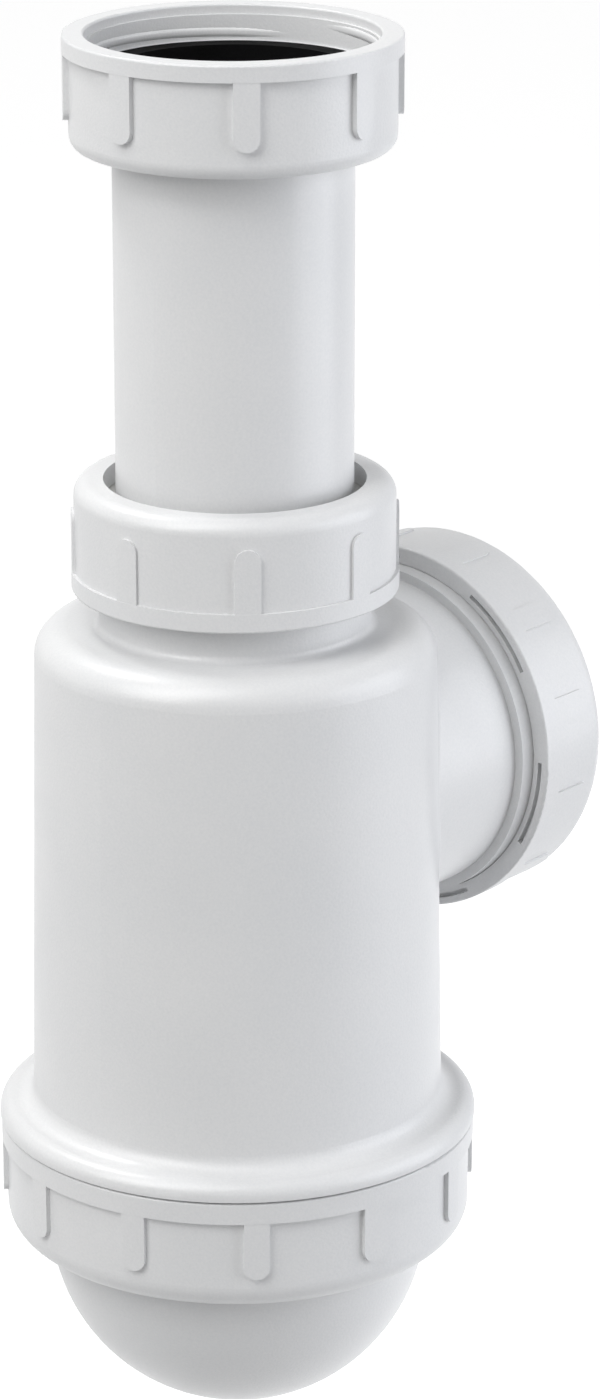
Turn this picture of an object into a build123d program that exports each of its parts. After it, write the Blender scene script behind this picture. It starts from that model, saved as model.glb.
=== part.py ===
from build123d import *
import os

# Kitchen sink bottle trap, in millimetres, +Z up.
# The origin is the centre of the inlet seal's top face, where the sink waste lands.
# The outlet points along +X.
# Threads are left as plain walls: the inner piece at its roots, the outer piece at the crests.

# Clearances shared by all pieces
turning_gap = 0.3
seat_gap = 0.1

# Grip ribs and rims, the same on every nut and on the cup
rib_width = 4.3
rib_drop = 0.05
rim_round = 0.4
nut_rib_count = 8
wide_rib_count = 12

# Inlet pipe, down to its open end inside the bowl
pipe_radius = 20.0
pipe_wall = 2.0
pipe_shown = 56.2
pipe_flange_reach = 3.3
pipe_end_chamfer = 0.6
dip_above_bowl = 28.0

# Inlet nut
inlet_nut_height = 19.0
inlet_nut_thickness = 3.1
inlet_rib_height = 1.0
inlet_band_height = 2.9
inlet_rib_reach = 14.1
inlet_nut_floor = 4.4
inlet_nut_round = 2.5
inlet_mouth_step = 0.4
inlet_mouth_depth = 1.7

# Inlet seal
inlet_seal_depth = 6.0
inlet_seal_height = 4.0
inlet_seal_inset = 0.3

# Neck of the bottle
neck_wall = 2.1
neck_thread_height = 1.5
neck_plain_step = 0.6
neck_shown = 6.6
neck_hidden = 1.6
neck_foot_round = 1.2
neck_rim = 0.6

# Pipe nut
pipe_nut_height = 18.9
pipe_nut_thickness = 3.2
pipe_rib_height = 0.55
pipe_band_height = 3.3
pipe_rib_reach = 14.2
pipe_nut_floor = 3.6
pipe_nut_round = 2.7
pipe_nut_hole_gap = 2.1

# Pipe seal
pipe_seal_flat = 3.4
pipe_seal_taper = 3.6
pipe_seal_lip = 0.4

# Bottle, with its foot flange and the threaded skirt under it
bottle_height = 88.7
bottle_wall = 2.5
shoulder_radius = 34.05
shoulder_round = 5.3
foot_radius = 35.55
foot_cove = 2.8
foot_flange_reach = 5.85
foot_flange_height = 3.1
foot_flange_round = 2.5
skirt_step = 0.45
skirt_wall = 3.0

# Outlet branch, along +X
outlet_below_shoulder = 1.95
outlet_branch_length = 7.35
outlet_branch_wall = 3.05
outlet_branch_round = 1.5
outlet_thread_height = 1.45
outlet_collar_entry = 1.0
outlet_socket_radius = 25.3
outlet_stop_length = 3.45
outlet_stop_step = 1.4
outlet_rim = 0.8

# Outlet nut
outlet_collar_shown = 2.95
outlet_nut_height = 17.0
outlet_nut_thickness = 2.65
outlet_rib_height = 0.4
outlet_band_height = 4.1
outlet_rib_reach = 13.2
outlet_nut_floor = 3.0
outlet_nut_round = 2.4
rim_slot_count = 6
rim_slot_span = 30.0
rim_slot_inset = 1.35
rim_slot_width = 0.8
rim_slot_depth = 1.2

# Outlet seal
outlet_seal_flat = 3.0
outlet_seal_taper = 3.0
outlet_seal_lip = 0.8

# Cleaning cup
cup_gap = 0.4
cup_thread_height = 1.4
cup_collar_height = 20.3
cup_collar_thickness = 2.95
cup_rib_height = 0.85
cup_band_height = 3.7
cup_rib_reach = 13.9
cup_collar_round = 4.5
cup_ledge = 3.0
cup_lead_in = 0.6
bowl_radius = 33.1
bowl_wall = 2.5
bowl_inset = 0.5
bowl_foot_round = 1.2

# Cup seal
cup_seal_height = 3.0

# Radii that follow from a fit
pipe_hole = pipe_radius + turning_gap
pipe_flange_radius = pipe_radius + pipe_flange_reach
inlet_pocket = pipe_flange_radius + turning_gap
inlet_thread_crest = inlet_pocket + turning_gap
neck_thread_root = pipe_hole + neck_wall
neck_thread_crest = neck_thread_root + neck_thread_height
neck_seat = neck_thread_root - neck_rim
outlet_thread_root = outlet_socket_radius + outlet_branch_wall
outlet_thread_crest = outlet_thread_root + outlet_thread_height
outlet_nut_bore = outlet_thread_crest + turning_gap
outlet_collar_radius = outlet_nut_bore - seat_gap
outlet_seat = outlet_thread_root - outlet_rim
cup_thread_root = foot_radius + skirt_step
cup_thread_crest = cup_thread_root + cup_thread_height
skirt_bore = cup_thread_root - skirt_wall

# Heights of the main levels, from the inlet seal's top face at zero
inlet_nut_rim = inlet_seal_depth
inlet_nut_bottom = inlet_nut_rim - inlet_nut_height
inlet_nut_floor_level = inlet_nut_bottom + inlet_nut_floor
pipe_flange_level = -inlet_seal_height
pipe_nut_top = inlet_nut_bottom - pipe_shown
pipe_nut_bottom = pipe_nut_top - pipe_nut_height
pipe_seal_level = pipe_nut_top - pipe_nut_floor - seat_gap
neck_top = pipe_seal_level - pipe_seal_flat - seat_gap
shoulder_level = pipe_nut_bottom - neck_shown
foot_level = shoulder_level - bottle_height
outlet_level = shoulder_level - outlet_below_shoulder - outlet_thread_root
cup_top = foot_level - cup_gap
collar_bottom = cup_top - cup_collar_height
ledge_level = collar_bottom + cup_ledge
skirt_end = ledge_level + cup_seal_height + seat_gap
bowl_level = collar_bottom + bowl_inset
bowl_inner_radius = bowl_radius - bowl_wall
dip_end = bowl_level - bowl_inner_radius + dip_above_bowl

# Distances along the outlet, from the bottle's axis
outlet_collar_start = shoulder_radius + outlet_branch_length
outlet_stop_at = shoulder_radius + outlet_stop_length
outlet_nut_start = outlet_collar_start + outlet_collar_shown
outlet_seal_at = outlet_nut_start + outlet_nut_height - outlet_nut_floor - seat_gap
outlet_end = outlet_seal_at - outlet_seal_flat - seat_gap


def outline(*corners):
    """Closed outline from corners of (radius, height) or (radius, height, rounding)."""
    places = [(corner[0], corner[1]) for corner in corners]
    roundings = [corner[2] if len(corner) == 3 else 0.0 for corner in corners]
    return make_face(FilletPolyline(*places, radius=roundings, close=True))


def turned(*corners):
    """Solid of revolution about Z from its outline's corners, with its seam at -X, away from the outlet."""
    return Rot(0, 0, 180) * revolve(Plane.XZ * outline(*corners), Axis.Z)


def grip_ribs(count, first_angle, wall, band, top, bottom):
    """Upright ribs round a wall, with round lower ends and faces that lie a hair inside the band's."""
    outer = band - rib_drop
    height = top - bottom - rib_width / 2
    shape = Pos(0, top - height / 2) * Rectangle(rib_width, height)
    shape += Pos(0, top - height) * Circle(rib_width / 2)
    blank = extrude(Plane.YZ * shape, outer + rib_width)
    shell = turned((wall - seat_gap, bottom), (outer, bottom), (outer, top), (wall - seat_gap, top))
    rib = blank & shell
    return [Rot(0, 0, first_angle + index * 360 / count) * rib for index in range(count)]


def union_nut(height, wall, band, band_height, rib_reach, rib_count, first_rib, rounding, inner):
    """Nut with its open rim at Z 0 and its floor below: inner is its inside, from the hole up to the rim."""
    shell = turned(
        (band, 0, rim_round),
        (band, -band_height),
        (wall, -band_height),
        (wall, -height, rounding),
        *inner,
    )
    return shell + grip_ribs(rib_count, first_rib, wall, band, -band_height / 2, -rib_reach)


def tapered_ring(bore, outer, seat, flat, taper, lip):
    """Sealing ring with its flat face at Z 0: a flat washer, and below it a taper that enters a seat."""
    return turned(
        (bore, 0),
        (outer, 0),
        (outer, -flat),
        (seat - turning_gap, -flat),
        (bore + lip, -flat - taper),
        (bore, -flat - taper),
    )


def make_inlet_nut():
    wall = inlet_thread_crest + inlet_nut_thickness
    floor = inlet_nut_floor - inlet_nut_height
    mouth = inlet_thread_crest + inlet_mouth_step
    inner = (
        (pipe_hole, -inlet_nut_height),
        (pipe_hole, floor),
        (inlet_pocket, floor),
        (inlet_pocket, -inlet_seal_depth),
        (inlet_thread_crest, -inlet_seal_depth),
        (inlet_thread_crest, -inlet_mouth_depth),
        (mouth, -inlet_mouth_depth),
        (mouth, 0, rim_round),
    )
    nut = union_nut(
        inlet_nut_height, wall, wall + inlet_rib_height, inlet_band_height, inlet_rib_reach,
        nut_rib_count, 0, inlet_nut_round, inner,
    )
    return Pos(0, 0, inlet_nut_rim) * nut


def make_inlet_seal():
    bore = pipe_radius - inlet_seal_inset
    return turned(
        (bore, 0),
        (pipe_flange_radius, 0),
        (pipe_flange_radius, pipe_flange_level),
        (bore, pipe_flange_level),
    )


def make_inlet_pipe():
    flange_bottom = inlet_nut_floor_level + seat_gap
    bore = pipe_radius - pipe_wall
    return turned(
        (bore, pipe_flange_level),
        (pipe_flange_radius, pipe_flange_level),
        (pipe_flange_radius, flange_bottom),
        (pipe_radius, flange_bottom),
        (pipe_radius, dip_end + pipe_end_chamfer),
        (pipe_radius - pipe_end_chamfer, dip_end),
        (bore, dip_end),
    )


def make_pipe_nut():
    wall = neck_thread_crest + pipe_nut_thickness
    hole = pipe_radius + pipe_nut_hole_gap
    floor = pipe_nut_floor - pipe_nut_height
    inner = (
        (hole, -pipe_nut_height),
        (hole, floor),
        (neck_thread_crest, floor),
        (neck_thread_crest, 0),
    )
    nut = union_nut(
        pipe_nut_height, wall, wall + pipe_rib_height, pipe_band_height, pipe_rib_reach,
        nut_rib_count, 0, pipe_nut_round, inner,
    )
    return Pos(0, 0, pipe_nut_bottom) * Rot(180, 0, 0) * nut


def make_pipe_seal():
    outer = neck_thread_crest - turning_gap
    ring = tapered_ring(pipe_hole, outer, neck_seat, pipe_seal_flat, pipe_seal_taper, pipe_seal_lip)
    return Pos(0, 0, pipe_seal_level) * ring


def make_bottle_body():
    neck_radius = neck_thread_root + neck_plain_step
    neck_plain_top = pipe_nut_bottom + neck_hidden
    seat_bottom = neck_top - pipe_seal_taper
    seat_low = pipe_hole + pipe_seal_lip + turning_gap
    chamber_top = shoulder_level - bottle_wall
    chamber_radius = shoulder_radius - bottle_wall
    flange_top = foot_level + foot_flange_height
    flange_radius = foot_radius + foot_flange_reach
    outside = turned(
        (0, neck_top),
        (neck_thread_root, neck_top),
        (neck_thread_root, neck_plain_top),
        (neck_radius, neck_plain_top),
        (neck_radius, shoulder_level, neck_foot_round),
        (shoulder_radius, shoulder_level, shoulder_round),
        (foot_radius, flange_top, foot_cove),
        (flange_radius, flange_top, foot_flange_round),
        (flange_radius, foot_level),
        (cup_thread_root, foot_level),
        (cup_thread_root, skirt_end),
        (0, skirt_end),
    )
    chamber = turned(
        (0, chamber_top),
        (chamber_radius, chamber_top, shoulder_round - bottle_wall),
        (skirt_bore, foot_level),
        (skirt_bore, skirt_end - seat_gap),
        (0, skirt_end - seat_gap),
    )
    neck_bore = turned(
        (0, neck_top + seat_gap),
        (neck_seat, neck_top + seat_gap),
        (neck_seat, neck_top),
        (seat_low, seat_bottom),
        (pipe_hole, seat_bottom),
        (pipe_hole, chamber_top - seat_gap),
        (0, chamber_top - seat_gap),
    )
    branch = Pos(0, 0, outlet_level) * Rot(0, 90, 0) * outlet_branch()
    body = outside + branch
    body = fillet(body.edges().filter_by(is_branch_foot), outlet_branch_round)
    passage = Pos(0, 0, outlet_level) * Rot(0, 90, 0) * outlet_passage()
    return body - chamber - neck_bore - passage


def is_branch_foot(edge):
    """True for the edges where the outlet branch leaves the bottle's wall."""
    middle = edge.position_at(0.5)
    reach = Vector(0, middle.Y, middle.Z - outlet_level).length
    return middle.X > 0 and middle.X < outlet_stop_at and abs(reach - outlet_thread_root) < seat_gap


def outlet_branch():
    """Outside of the outlet branch, along Z from the bottle's axis. Its collar enters the nut's mouth."""
    collar_end = outlet_nut_start + outlet_collar_entry
    return turned(
        (0, 0),
        (outlet_thread_root, 0),
        (outlet_thread_root, outlet_collar_start),
        (outlet_collar_radius, outlet_collar_start),
        (outlet_collar_radius, collar_end),
        (outlet_thread_root, collar_end),
        (outlet_thread_root, outlet_end),
        (0, outlet_end),
    )


def outlet_passage():
    """Inside of the outlet branch: a stop, the pipe socket and the tapered seat at its mouth."""
    stop = outlet_socket_radius - outlet_stop_step
    seat_low = outlet_socket_radius + seat_gap + outlet_seal_lip + turning_gap
    seat_bottom = outlet_end - outlet_seal_taper
    return turned(
        (0, 0),
        (stop, 0),
        (stop, outlet_stop_at),
        (outlet_socket_radius, outlet_stop_at),
        (outlet_socket_radius, seat_bottom),
        (seat_low, seat_bottom),
        (outlet_seat, outlet_end),
        (outlet_seat, outlet_end + seat_gap),
        (0, outlet_end + seat_gap),
    )


def make_outlet_nut():
    wall = outlet_nut_bore + outlet_nut_thickness
    hole = outlet_socket_radius + turning_gap
    floor = outlet_nut_floor - outlet_nut_height
    inner = (
        (hole, -outlet_nut_height),
        (hole, floor),
        (outlet_nut_bore, floor),
        (outlet_nut_bore, 0),
    )
    nut = union_nut(
        outlet_nut_height, wall, wall + outlet_rib_height, outlet_band_height, outlet_rib_reach,
        wide_rib_count, 180 / wide_rib_count, outlet_nut_round, inner,
    )
    profile = Pos(outlet_nut_bore + rim_slot_inset, 0) * Rectangle(rim_slot_width, 2 * rim_slot_depth)
    slot = revolve(Plane.XZ * profile, Axis.Z, rim_slot_span)
    for index in range(rim_slot_count):
        nut -= Rot(0, 0, index * 360 / rim_slot_count) * slot
    return Pos(outlet_nut_start, 0, outlet_level) * Rot(0, -90, 0) * nut


def make_outlet_seal():
    bore = outlet_socket_radius + seat_gap
    outer = outlet_nut_bore - turning_gap
    ring = tapered_ring(bore, outer, outlet_seat, outlet_seal_flat, outlet_seal_taper, outlet_seal_lip)
    return Pos(outlet_seal_at, 0, outlet_level) * Rot(0, 90, 0) * ring


def make_cleaning_cup():
    wall = cup_thread_crest + cup_collar_thickness
    band = wall + cup_rib_height
    section = outline(
        (0, cup_top),
        (band, cup_top, rim_round),
        (band, cup_top - cup_band_height),
        (wall, cup_top - cup_band_height),
        (wall, collar_bottom, cup_collar_round),
        (0, collar_bottom),
    )
    lower_right = Pos(bowl_radius / 2, bowl_level - bowl_radius / 2) * Rectangle(bowl_radius, bowl_radius)
    section += Pos(0, bowl_level) * Circle(bowl_radius) & lower_right
    bowl_foot = section.vertices().sort_by_distance((bowl_radius, collar_bottom))[0]
    section = fillet(bowl_foot, bowl_foot_round)
    lead = cup_thread_crest + cup_lead_in
    section -= outline(
        (0, cup_top + seat_gap),
        (lead, cup_top + seat_gap),
        (lead, cup_top - cup_lead_in),
        (cup_thread_crest, cup_top - 2 * cup_lead_in),
        (cup_thread_crest, ledge_level),
        (bowl_inner_radius, ledge_level),
        (bowl_inner_radius, bowl_level),
        (0, bowl_level),
    )
    section -= Pos(0, bowl_level) * Circle(bowl_inner_radius)
    ribs = grip_ribs(
        wide_rib_count, 180 / wide_rib_count, wall, band,
        cup_top - cup_band_height / 2, cup_top - cup_rib_reach,
    )
    return revolve(Plane.XZ * section, Axis.Z) + ribs


def make_cup_seal():
    outer = cup_thread_crest - turning_gap
    return turned(
        (skirt_bore, skirt_end - seat_gap),
        (outer, skirt_end - seat_gap),
        (outer, ledge_level),
        (skirt_bore, ledge_level),
    )


pieces = {
    "inlet_nut": make_inlet_nut(),
    "inlet_seal": make_inlet_seal(),
    "inlet_pipe": make_inlet_pipe(),
    "pipe_nut": make_pipe_nut(),
    "pipe_seal": make_pipe_seal(),
    "bottle_body": make_bottle_body(),
    "outlet_nut": make_outlet_nut(),
    "outlet_seal": make_outlet_seal(),
    "cleaning_cup": make_cleaning_cup(),
    "cup_seal": make_cup_seal(),
}

os.makedirs("parts", exist_ok=True)
for name, piece in pieces.items():
    export_step(piece, os.path.join("parts", name + ".step"))
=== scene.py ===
# %% [markdown]
# # A kitchen sink bottle trap
# The real trap hangs under a sink. A pipe brings waste water down into a bottle, the water rises round
# the pipe and leaves through the side outlet, and a cup screws off underneath for cleaning. It is moulded
# in white plastic and sealed with rings.
# Its shapes come from the CAD model, which is loaded as a fixed frame. Blender adds what CAD leaves out:
# the screw threads, the finish of each surface, the light and the camera.

# %% Load the CAD model as a fixed frame
import math

import bpy
from mathutils import Matrix, Vector


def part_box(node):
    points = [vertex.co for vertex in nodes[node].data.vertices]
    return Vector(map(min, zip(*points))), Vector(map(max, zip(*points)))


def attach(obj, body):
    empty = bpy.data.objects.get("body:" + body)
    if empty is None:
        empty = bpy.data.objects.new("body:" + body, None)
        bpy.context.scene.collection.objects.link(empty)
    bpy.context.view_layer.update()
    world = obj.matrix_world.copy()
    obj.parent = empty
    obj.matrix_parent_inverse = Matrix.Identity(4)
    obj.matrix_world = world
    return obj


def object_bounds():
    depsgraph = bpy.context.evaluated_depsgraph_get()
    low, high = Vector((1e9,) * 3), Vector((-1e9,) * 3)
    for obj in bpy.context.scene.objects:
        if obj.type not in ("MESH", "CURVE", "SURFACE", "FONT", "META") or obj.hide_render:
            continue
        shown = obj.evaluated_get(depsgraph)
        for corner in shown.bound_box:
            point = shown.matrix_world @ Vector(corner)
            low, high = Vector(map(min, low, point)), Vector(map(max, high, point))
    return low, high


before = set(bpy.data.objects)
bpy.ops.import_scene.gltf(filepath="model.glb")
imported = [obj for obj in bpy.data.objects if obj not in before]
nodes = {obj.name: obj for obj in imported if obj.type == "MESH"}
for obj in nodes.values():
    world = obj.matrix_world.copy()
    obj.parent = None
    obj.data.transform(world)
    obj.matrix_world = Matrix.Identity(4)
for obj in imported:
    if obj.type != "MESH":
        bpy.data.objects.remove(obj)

cad_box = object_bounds()
for node_name in sorted(nodes):
    low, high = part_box(node_name)
    extent = [round(1000 * side, 1) for side in high - low]
    print("piece", node_name, "measures", extent, "mm")

# %% [markdown]
# ## Colours and shader nodes
# Colours are written as hex values, the way a paint chart or a web page gives them. Those are sRGB, and
# a shader wants linear light, so one function turns them over. A second small function adds a shader node
# together with its settings and its links, which keeps each recipe below short.


# %% One function for colours, one for nodes and one for pattern sizes
def linear_colour(hex_text):
    """Linear RGBA from an sRGB hex value such as E4E5E6."""
    channels = [int(hex_text[start:start + 2], 16) / 255 for start in (0, 2, 4)]
    linear = [c / 12.92 if c <= 0.04045 else ((c + 0.055) / 1.055) ** 2.4 for c in channels]
    return (*linear, 1.0)


def add_node(tree, kind, values=None, links=None, **settings):
    """Adds one node: settings are its options, values fill its sockets, links feed them from outputs."""
    node = tree.nodes.new(kind)
    for option, setting in settings.items():
        setattr(node, option, setting)
    for socket, value in (values or {}).items():
        node.inputs[socket].default_value = value
    for socket, source in (links or {}).items():
        tree.links.new(source, node.inputs[socket])
    return node


def per_metre(size_mm):
    """Texture scale that gives a pattern of this size in millimetres."""
    return 1000.0 / size_mm


print("mid grey 808080 is", round(linear_colour("808080")[0], 3), "in linear light")

# %% [markdown]
# ## What the finishes share
# Every piece leaves a steel mould or die, and they look alike in how they vary: clouds where the pigment
# flowed unevenly, faint specks of painted shade that stand in for the shade of tiny pits, duller and
# glossier patches, and the fine grain of the steel itself. Each could be a picture wrapped round the piece,
# but a noise pattern in the piece's own coordinates has no seam on a round wall and stays put when a nut
# turns. So one recipe takes the size of each pattern in millimetres.

# %% One recipe for everything that takes its grain from steel
# A Mix node keeps its colour sockets behind these numbers, because A and B also name its other kinds.
mix_colour_a = 6
mix_colour_b = 7
mix_colour_result = 2
# Noise rarely leaves this part of its range, so colour and roughness are spread over it.
noise_low = 0.3
noise_high = 0.7


def grained_finish(
    name, colours, cloud_mm, painted_pit_shade_mm, roughness, patch_mm, grain_mm, grain_depth_mm, stretch=1.0,
):
    """Material with clouds, specks of painted pit shade, gloss patches and a grain. Stretch draws the last
    two out along Z.
    """
    material = bpy.data.materials.new(name)
    material.use_nodes = True
    tree = material.node_tree
    shader = tree.nodes["Principled BSDF"]
    place = add_node(tree, "ShaderNodeTexCoord").outputs["Object"]
    squeeze = {"Scale": (1.0, 1.0, 1.0 / stretch)}
    drawn_place = add_node(tree, "ShaderNodeMapping", squeeze, {"Vector": place}).outputs["Vector"]

    cloud = add_node(tree, "ShaderNodeTexNoise", {"Scale": per_metre(cloud_mm)}, {"Vector": place})
    # The specks are painted shade: light and dark dots mixed into the colour, with the pigment's clouds,
    # stand in for the shade of tiny pits.
    painted_pit_shade = add_node(tree, "ShaderNodeTexNoise", {"Scale": per_metre(painted_pit_shade_mm)}, {"Vector": place})
    both = {0: cloud.outputs["Fac"], 1: painted_pit_shade.outputs["Fac"]}
    shade = add_node(tree, "ShaderNodeMath", None, both, operation="ADD")
    sum_range = {"From Min": 2 * noise_low, "From Max": 2 * noise_high}
    share = add_node(tree, "ShaderNodeMapRange", sum_range, {"Value": shade.outputs["Value"]})
    pigment = {mix_colour_a: colours[0], mix_colour_b: colours[1]}
    mixing = {"Factor": share.outputs["Result"]}
    colour = add_node(tree, "ShaderNodeMix", pigment, mixing, data_type="RGBA")
    tree.links.new(colour.outputs[mix_colour_result], shader.inputs["Base Color"])

    patch = add_node(tree, "ShaderNodeTexNoise", {"Scale": per_metre(patch_mm)}, {"Vector": drawn_place})
    spread = {"From Min": noise_low, "From Max": noise_high, "To Min": roughness[0], "To Max": roughness[1]}
    gloss = add_node(tree, "ShaderNodeMapRange", spread, {"Value": patch.outputs["Fac"]})
    tree.links.new(gloss.outputs["Result"], shader.inputs["Roughness"])

    grain = add_node(tree, "ShaderNodeTexNoise", {"Scale": per_metre(grain_mm)}, {"Vector": drawn_place})
    relief = {"Strength": 1.0, "Distance": grain_depth_mm / 1000}
    bump = add_node(tree, "ShaderNodeBump", relief, {"Height": grain.outputs["Fac"]})
    tree.links.new(bump.outputs["Normal"], shader.inputs["Normal"])
    print("material", name, "has", len(tree.nodes), "nodes and roughness", roughness)
    return material, shader


print("noise is spread from", noise_low, "to", noise_high)

# %% [markdown]
# ## Moulded polypropylene
# The nuts, the bottle and the cup are injection moulded in white polypropylene. The steel mould was spark
# eroded, which leaves a very fine matt grain on the plastic, so it has a broad soft sheen and no sharp
# reflections. The pigment's clouds are some centimetres wide and very faint. It could be one flat white,
# but then every wall looks like paper: the grain breaks up the highlights on the rounded edges.

# %% Mix the moulded polypropylene
pigment_dark = linear_colour("D6D7D8")
pigment_light = linear_colour("DFDFDF")
pigment_cloud_mm = 28.0
polypropylene_ior = 1.49
# The real spark grain is about 0.05 mm. Grain and the specks of painted pit shade are drawn coarser, so that
# they show in a picture of the whole trap.
spark_grain_mm = 0.45
spark_grain_depth_mm = 0.035
moulded_plastic, shader = grained_finish(
    "moulded_white_polypropylene",
    colours=(pigment_dark, pigment_light),
    cloud_mm=pigment_cloud_mm,
    painted_pit_shade_mm=spark_grain_mm,
    roughness=(0.29, 0.36),
    patch_mm=9.0,
    grain_mm=spark_grain_mm,
    grain_depth_mm=spark_grain_depth_mm,
)
shader.inputs["IOR"].default_value = polypropylene_ior

# %% [markdown]
# ## Extruded polypropylene
# The inlet pipe is cut from extruded stock: the plastic is pushed through a ring-shaped die, which draws
# very fine lines along it. The same white as the mouldings is used, a little smoother, with patterns that
# are stretched along the pipe. A wave texture would give lines too, but even ones, and a die's lines are
# uneven.

# %% Mix the extruded polypropylene
# A die's real lines are finer than a tenth of a millimetre. They are drawn coarser, so that they show.
draw_line_mm = 0.7
draw_line_length_mm = 90.0
extruded_plastic, shader = grained_finish(
    "extruded_white_polypropylene",
    colours=(pigment_dark, pigment_light),
    cloud_mm=pigment_cloud_mm,
    painted_pit_shade_mm=spark_grain_mm,
    roughness=(0.29, 0.34),
    patch_mm=3 * draw_line_mm,
    grain_mm=draw_line_mm,
    grain_depth_mm=0.01,
    stretch=draw_line_length_mm / draw_line_mm,
)
shader.inputs["IOR"].default_value = polypropylene_ior

# %% [markdown]
# ## Polyethylene
# The two tapered rings that grip a pipe are moulded in soft polyethylene with no pigment, so they are milky
# and feel like wax. Light enters such plastic and comes out again a little further on. A plain white would
# do for the eye, but a subsurface shader does what the plastic does, with a reach of about a millimetre,
# and keeps the deep gap round the pipe from looking black.

# %% Mix the polyethylene
ring_polyethylene, shader = grained_finish(
    "milky_soft_polyethylene",
    colours=(linear_colour("CFCFCB"), linear_colour("D8D8D5")),
    cloud_mm=6.0,
    painted_pit_shade_mm=spark_grain_mm,
    roughness=(0.3, 0.4),
    patch_mm=4.0,
    grain_mm=spark_grain_mm,
    grain_depth_mm=spark_grain_depth_mm,
)
shader.inputs["IOR"].default_value = 1.51
shader.inputs["Subsurface Weight"].default_value = 0.4
shader.inputs["Subsurface Scale"].default_value = 0.001
shader.inputs["Subsurface Radius"].default_value = (1.0, 1.0, 0.9)

# %% [markdown]
# ## Rubber
# The flat seals are pressed from black EPDM rubber, which holds out against hot water and grease. It is
# coloured with soot, so it is nearly black, and the mould leaves it dull. A thin bloom of wax comes to its
# surface and greys it in patches. A flat black would lose the ring in its hole, so the patches stay. Its
# surface is full of fine pits that swallow light, so it mirrors far less than a smooth plastic does.

# %% Mix the rubber
# The real pits are finer than a tenth of a millimetre. They are drawn coarser, so that they show.
rubber_pit_mm = 0.35
seal_rubber, shader = grained_finish(
    "black_epdm_rubber",
    colours=(linear_colour("060606"), linear_colour("0E0E0F")),
    cloud_mm=5.0,
    painted_pit_shade_mm=rubber_pit_mm,
    roughness=(0.6, 0.75),
    patch_mm=5.0,
    grain_mm=rubber_pit_mm,
    grain_depth_mm=0.02,
)
shader.inputs["Specular IOR Level"].default_value = 0.04

# %% [markdown]
# ## Dress the CAD pieces
# Every CAD piece keeps its shape and gets its finish. What isn't named here is moulded polypropylene.

# %% Give each CAD piece its finish
finishes = {
    "inlet_pipe": extruded_plastic,
    "pipe_seal": ring_polyethylene,
    "outlet_seal": ring_polyethylene,
    "inlet_seal": seal_rubber,
    "cup_seal": seal_rubber,
}
for node_name, node in nodes.items():
    finish = finishes.get(node_name, moulded_plastic)
    node.data.materials.clear()
    node.data.materials.append(finish)
    print(node_name, "is", finish.name)

# %% [markdown]
# ## Screw threads
# Each nut and the cup grip by a thread, and so does what they screw on. CAD leaves those walls plain: the
# inner wall stands at the bottom of its thread and the outer wall at the bottom of the nut's. Here each
# thread is a ridge that winds along its wall, with sloping flanks and a slightly rounded crest, and it
# sinks into the wall at both ends as a moulded thread does. A screw modifier could wind the same profile,
# but it can't sink the ends, so the ridge is made point by point along the helix.
# A nut's ridge starts half a pitch from its partner's, so the two lie in each other's grooves. The joints
# move a nut by one pitch a turn, so they stay there while it is unscrewed.

# %% Wind one ridge along a wall
steps_per_turn = 120
run_out_turns = 0.1
# How deep a ridge's foot stands in its wall, in millimetres.
thread_sink = 0.15
# Half widths of a ridge as shares of its pitch, and the share of its height that rounds the crest.
foot_share = 0.33
shoulder_share = 0.13
crest_share = 0.06
rounding_share = 0.12


def ridge_section(pitch, height):
    """Section of a ridge as pairs of (place along the axis, height over its sunken foot)."""
    top = height + thread_sink
    rising = [
        (-foot_share * pitch, 0.0),
        (-foot_share * pitch, thread_sink),
        (-shoulder_share * pitch, top - rounding_share * height),
        (-crest_share * pitch, top),
    ]
    return rising + [(-along, up) for along, up in reversed(rising)]


def wind_thread(name, wall, height, pitch, start, turns, body, axis_place):
    """Ridge on a wall of this radius, in millimetres. A negative height points to the axis."""
    section = ridge_section(pitch, abs(height))
    outward = math.copysign(1.0, height)
    count = len(section)
    steps = round(turns * steps_per_turn)
    points = []
    for step in range(steps + 1):
        turn = step / steps_per_turn
        to_end = min(step, steps - step) / steps_per_turn
        rise = min(1.0, to_end / run_out_turns)
        angle = 2 * math.pi * turn
        for along, up in section:
            radius = wall + outward * (up * rise - thread_sink)
            level = start + pitch * turn + along
            points.append((radius * math.cos(angle), radius * math.sin(angle), level))
    faces = [tuple(range(count)), tuple(reversed(range(steps * count, steps * count + count)))]
    for step in range(steps):
        for side in range(count):
            here = step * count + side
            beside = step * count + (side + 1) % count
            faces.append((here, here + count, beside + count, beside))
    if height < 0:
        faces = [tuple(reversed(face)) for face in faces]
    mesh = bpy.data.meshes.new(name)
    mesh.from_pydata([Vector(point) / 1000 for point in points], [], faces)
    mesh.transform(axis_place)
    mesh.shade_smooth()
    mesh.materials.append(moulded_plastic)
    thread = bpy.data.objects.new(name, mesh)
    bpy.context.scene.collection.objects.link(thread)
    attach(thread, body)
    print("thread", name, "has", turns, "turns and", len(faces), "faces on body", body)


print("a ridge takes", steps_per_turn, "steps a turn and sinks over", run_out_turns, "turns at each end")

# %% [markdown]
# ## Where the threads are
# The levels come from the CAD boxes: the neck ends at the top of the bottle, the skirt at its bottom, the
# branch at its far side. They could be typed in, but then a thread would stay behind when the CAD model
# changes. The pipe nut and the outlet nut have the fine pitch of a pipe thread, 11 to the inch. The cup has
# a coarse thread, so that a few turns take it off.

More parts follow.
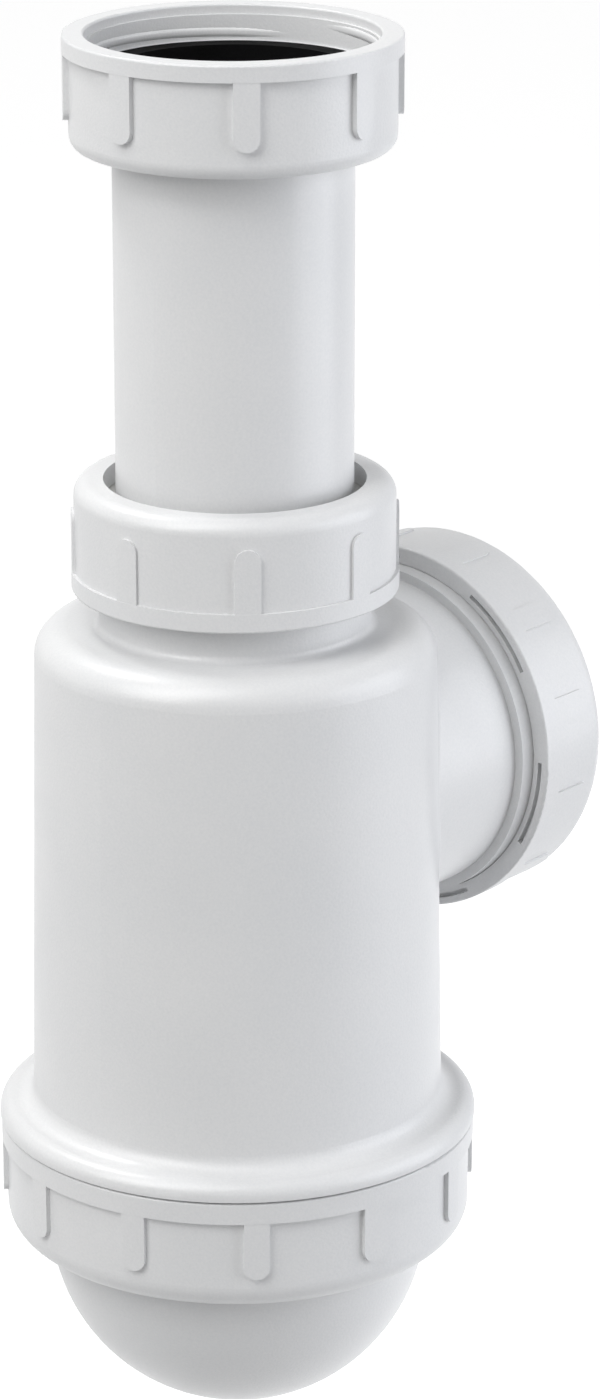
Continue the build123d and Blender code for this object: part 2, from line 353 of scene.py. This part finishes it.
# %% Measure the walls that carry threads
pipe_thread_pitch = 25.4 / 11
cup_thread_pitch = 4.0
bottle_low, bottle_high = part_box("bottle_body")
outlet_nut_low, outlet_nut_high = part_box("outlet_nut")
neck_top = 1000 * bottle_high.z
skirt_end = 1000 * bottle_low.z
branch_end = 1000 * bottle_high.x
outlet_level = (outlet_nut_low.z + outlet_nut_high.z) / 2
upright = Matrix.Identity(4)
along_outlet = Matrix.Translation((0, 0, outlet_level)) @ Matrix.Rotation(math.radians(90), 4, "Y")
print("neck top", round(neck_top, 1), "mm, skirt end", round(skirt_end, 1), "mm")
print("branch end", round(branch_end, 1), "mm from the axis")

# %% [markdown]
# ## Neck and pipe nut
# This pair clamps the pipe. The thread on the neck stops below its rim, so that the nut finds its start.
# One ridge between the two walls would look the same when closed, but each piece carries its own, because
# they part when the nut comes off.

# %% Wind the neck's thread and the pipe nut's
fine_ridge = 1.25
neck_wall = 22.4
pipe_nut_wall = 23.9
neck_thread_reach = 9.0
neck_start = neck_top - neck_thread_reach
wind_thread(
    "neck_thread",
    wall=neck_wall,
    height=fine_ridge,
    pitch=pipe_thread_pitch,
    start=neck_start,
    turns=3.5,
    body="bottle",
    axis_place=upright,
)
wind_thread(
    "pipe_nut_thread",
    wall=pipe_nut_wall,
    height=-fine_ridge,
    pitch=pipe_thread_pitch,
    start=neck_start + pipe_thread_pitch / 2,
    turns=2.9,
    body="pipe_nut",
    axis_place=upright,
)

# %% [markdown]
# ## Branch and outlet nut
# This pair is the same, larger and lying on its side, and it clamps the waste pipe. It could be the neck's
# thread scaled up, but a pipe thread of this kind keeps its pitch as it gets larger, so only the wall and
# the axis change.

# %% Wind the branch's thread and the outlet nut's
branch_wall = 28.35
outlet_nut_wall = 30.1
branch_thread_reach = 9.6
branch_start = branch_end - branch_thread_reach
wind_thread(
    "branch_thread",
    wall=branch_wall,
    height=fine_ridge,
    pitch=pipe_thread_pitch,
    start=branch_start,
    turns=3.8,
    body="bottle",
    axis_place=along_outlet,
)
wind_thread(
    "outlet_nut_thread",
    wall=outlet_nut_wall,
    height=-fine_ridge,
    pitch=pipe_thread_pitch,
    start=branch_start + pipe_thread_pitch / 2,
    turns=3.3,
    body="outlet_nut",
    axis_place=along_outlet,
)

# %% [markdown]
# ## Skirt and cup
# The cup is taken off by hand and often wet. A fine thread would take many turns and clog with dirt, so
# this one is coarse: a broad ridge, like a jar lid's.

# %% Wind the skirt's thread and the cup's
coarse_ridge = 1.1
skirt_wall = 36.0
cup_wall = 37.4
skirt_lead_in = 1.6
skirt_start = skirt_end + skirt_lead_in
wind_thread(
    "skirt_thread",
    wall=skirt_wall,
    height=coarse_ridge,
    pitch=cup_thread_pitch,
    start=skirt_start,
    turns=2.7,
    body="bottle",
    axis_place=upright,
)
wind_thread(
    "cup_thread",
    wall=cup_wall,
    height=-coarse_ridge,
    pitch=cup_thread_pitch,
    start=skirt_start + cup_thread_pitch / 2,
    turns=2.0,
    body="cup",
    axis_place=upright,
)

# %% [markdown]
# ## Inlet nut
# The sink's waste screws into this nut from above. Its thread is short, because the waste's tail lands on
# the rubber ring after little more than a turn. It could be as deep as the others, but the pipe's flange
# has to pass it on its way in, and the photograph shows this wall as good as smooth. So the ridge only hints
# at the real thread.

# %% Wind the inlet nut's thread
shallow_ridge = 0.15
inlet_nut_wall = 23.9
# Level of the thread's start over the model's zero, in millimetres.
inlet_start = 1.0
wind_thread(
    "inlet_nut_thread",
    wall=inlet_nut_wall,
    height=-shallow_ridge,
    pitch=pipe_thread_pitch,
    start=inlet_start,
    turns=1.05,
    body="inlet_nut",
    axis_place=upright,
)

# %% [markdown]
# ## Studio
# The trap is shown on white, in soft light from both sides and above, so that the fronts of its round walls
# are the darkest and every rounded edge catches a highlight. The floor lies well below, as the floor of
# a sink cabinet does. Sky and floor could simply be bright white, but so much light from below would wash
# out the shade under the nuts and the bowl. So they look white to the camera and in reflections, and light
# the trap only gently.

# %% Set the view's colours and the sky
scene = bpy.context.scene
scene.view_settings.view_transform = "Standard"
sky_strength = 0.2
shown_white = 1.0


def seen_directly(tree):
    """1 where a ray comes from the camera, a reflection or a see-through surface, else 0."""
    rays = add_node(tree, "ShaderNodeLightPath").outputs
    mirrored = {0: rays["Is Camera Ray"], 1: rays["Is Glossy Ray"]}
    either = add_node(tree, "ShaderNodeMath", None, mirrored, operation="MAXIMUM")
    through = {0: either.outputs["Value"], 1: rays["Is Transmission Ray"]}
    return add_node(tree, "ShaderNodeMath", None, through, operation="MAXIMUM").outputs["Value"]


sky = bpy.data.worlds.new("white_studio")
sky.use_nodes = True
sky_tree = sky.node_tree
sky_light = sky_tree.nodes["Background"]
sky_light.inputs["Color"].default_value = linear_colour("FFFFFF")
sky_range = {"To Min": sky_strength, "To Max": shown_white}
strength = add_node(sky_tree, "ShaderNodeMapRange", sky_range, {"Value": seen_directly(sky_tree)})
sky_tree.links.new(strength.outputs["Result"], sky_light.inputs["Strength"])
scene.world = sky
print("sky lights with", sky_strength, "and shows as", shown_white)

# %% Lay the floor
floor_below = 0.3
floor_half = 6.0
floor_glow = 0.8
floor_level = cad_box[0].z - floor_below
floor_mesh = bpy.data.meshes.new("studio_floor")
corner_signs = [(-1, -1), (1, -1), (1, 1), (-1, 1)]
floor_corners = [(floor_half * x, floor_half * y, floor_level) for x, y in corner_signs]
floor_mesh.from_pydata(floor_corners, [], [(0, 1, 2, 3)])
floor = bpy.data.objects.new("studio_floor", floor_mesh)
scene.collection.objects.link(floor)

floor_paint = bpy.data.materials.new("matt_floor_paint")
floor_paint.use_nodes = True
paint_tree = floor_paint.node_tree
paint = paint_tree.nodes["Principled BSDF"]
paint.inputs["Base Color"].default_value = linear_colour("C8C8C8")
paint.inputs["Roughness"].default_value = 0.9
paint.inputs["Emission Color"].default_value = linear_colour("FFFFFF")
glow_range = {"To Min": 0.0, "To Max": floor_glow}
glow = add_node(paint_tree, "ShaderNodeMapRange", glow_range, {"Value": seen_directly(paint_tree)})
paint_tree.links.new(glow.outputs["Result"], paint.inputs["Emission Strength"])
floor_mesh.materials.append(floor_paint)
print("floor at", round(1000 * floor_level), "mm")

# %% [markdown]
# ## Camera
# The photograph was taken from a little above, looking past the inlet side of the trap towards its outlet.
# Its camera could be set by eye. Here its place was worked out from the ellipses of the round rims, and its
# lens from how they open towards the bottom, so that render and photograph lie on each other.

# %% Place the camera
camera_place_mm = Vector((-601.6, -516.5, 158.8))
camera_bearing = math.radians(39.86)
camera_pitch = math.radians(-18.64)


def direction(bearing, rise):
    """Unit vector towards a bearing about +Z and a rise over the level, both in radians."""
    level = math.cos(rise)
    return Vector((math.cos(bearing) * level, math.sin(bearing) * level, math.sin(rise)))


camera_data = bpy.data.cameras.new("photo_camera")
camera_data.lens = 126.65
camera_data.sensor_width = 36.0
camera = bpy.data.objects.new("photo_camera", camera_data)
camera.location = camera_place_mm / 1000
aim = direction(camera_bearing, camera_pitch)
camera.rotation_euler = aim.to_track_quat("-Z", "Y").to_euler()
scene.collection.objects.link(camera)
scene.camera = camera
print("camera looks along", [round(part, 3) for part in aim])

# %% [markdown]
# ## Lamps
# A bright sky alone would light the trap too, but then round walls look flat. So square lamps stand round
# it, all aimed at its middle: the bigger a lamp is, the softer its shadow. The left lamp models the round
# walls. The right lamp is the largest, stands low and is a little bluer, as daylight from a window is. The
# top lamp lights the shoulders and rims. The back lamp is small, so that it draws thin bright lines along
# the rounded edges. Places are given as a bearing from the camera's view, to the right and upwards.

# %% Hang the lamps
trap_middle = (cad_box[0] + cad_box[1]) / 2
lamp_distance = 1.3


def hang_lamp(name, right_deg, up_deg, size, watts, colour):
    """Square lamp aimed at the trap, placed by its bearing from the camera's view."""
    away = direction(camera_bearing + math.pi + math.radians(right_deg), math.radians(up_deg))
    lamp_data = bpy.data.lights.new(name, "AREA")
    lamp_data.size = size
    lamp_data.energy = watts
    lamp_data.color = linear_colour(colour)[:3]
    lamp = bpy.data.objects.new(name, lamp_data)
    lamp.location = trap_middle + lamp_distance * away
    lamp.rotation_euler = (-away).to_track_quat("-Z", "Y").to_euler()
    scene.collection.objects.link(lamp)
    print("lamp", name, "at", [round(part, 2) for part in lamp.location], "m")


hang_lamp("left_lamp", right_deg=-50, up_deg=35, size=0.8, watts=9.0, colour="FFFFFF")
hang_lamp("right_lamp", right_deg=84, up_deg=10, size=1.2, watts=14.2, colour="F8FAFF")
hang_lamp("top_lamp", right_deg=-30, up_deg=60, size=0.8, watts=5.9, colour="FFFFFF")
hang_lamp("back_lamp", right_deg=-125, up_deg=55, size=0.3, watts=5.1, colour="FFFFFF")
